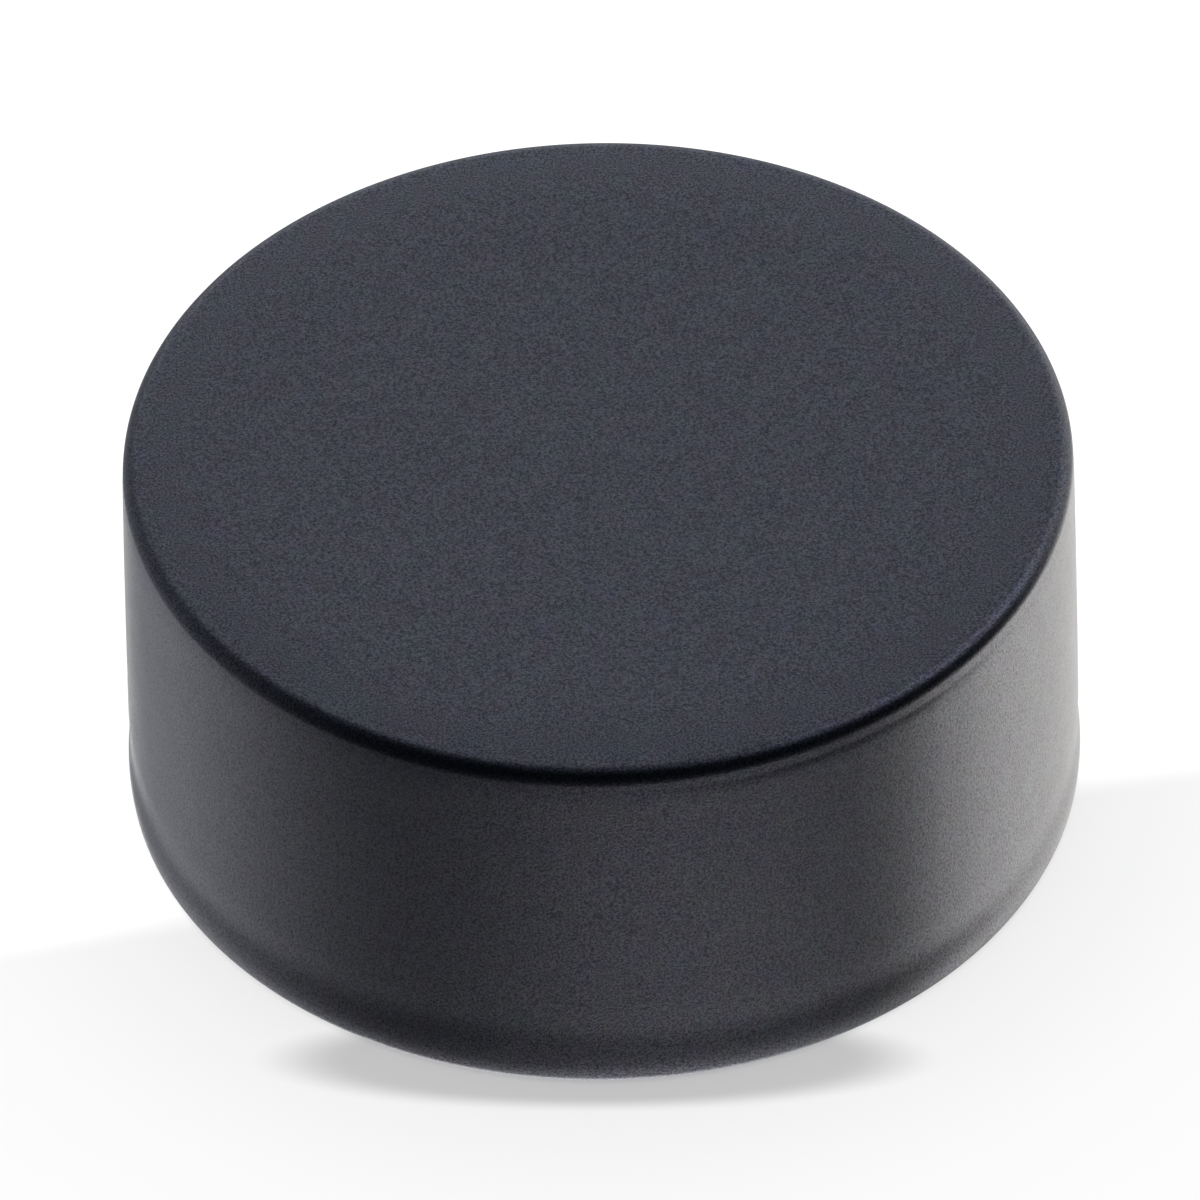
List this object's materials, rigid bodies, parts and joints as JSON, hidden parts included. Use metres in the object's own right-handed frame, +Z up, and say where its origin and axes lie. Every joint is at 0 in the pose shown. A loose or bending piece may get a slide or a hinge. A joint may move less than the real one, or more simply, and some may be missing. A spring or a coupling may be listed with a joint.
{
  "type": "hockey puck",
  "caption": "Plain black hockey puck, struck with sticks in ice hockey: a thick solid rubber disc with flat faces, a smooth straight side and small rounded edges.",
  "frame": {"origin": "centre of the flat base, so the puck stands on Z = 0", "axes": "+Z up along the disc's axis of revolution, from the base to the top face; +X and +Y are any two directions across the disc"},
  "size_m": [0.0762, 0.0762, 0.0332],
  "materials": {
    "moulded_rubber": "satin black vulcanised rubber with a fine moulded grain"
  },
  "bodies": {
    "root": {"puck_body": "moulded_rubber"}
  },
  "joints": []
}
